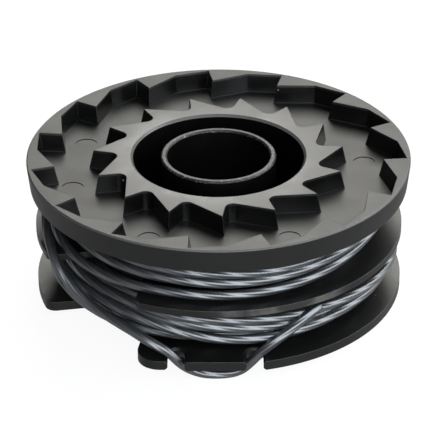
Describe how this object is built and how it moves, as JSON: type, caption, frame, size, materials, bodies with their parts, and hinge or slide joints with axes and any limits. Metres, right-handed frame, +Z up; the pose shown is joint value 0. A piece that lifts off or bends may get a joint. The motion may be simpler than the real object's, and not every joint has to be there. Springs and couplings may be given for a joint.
{
  "type": "trimmer line spool",
  "caption": "Moulded spool for a grass trimmer head, with a through bore, a toothed ratchet recess, notched flanges and wound twisted cutting line whose ends are parked in slots.",
  "frame": {"origin": "on the bore axis, at the foot of the hub collar that the spool stands on", "axes": "+Z up along the bore to the toothed recess, +X to the right and +Y away from the parked end of the upper line"},
  "size_m": [0.07, 0.07, 0.0291],
  "materials": {
    "spool_plastic": "black injection moulding, satin, slightly scuffed",
    "cutting_line": "smoky grey twisted nylon line with a soft gloss"
  },
  "bodies": {
    "root": {"spool_body": "spool_plastic", "upper_winding": "cutting_line", "lower_winding": "cutting_line", "upper_line_end": "cutting_line", "lower_line_end": "cutting_line"}
  },
  "joints": []
}
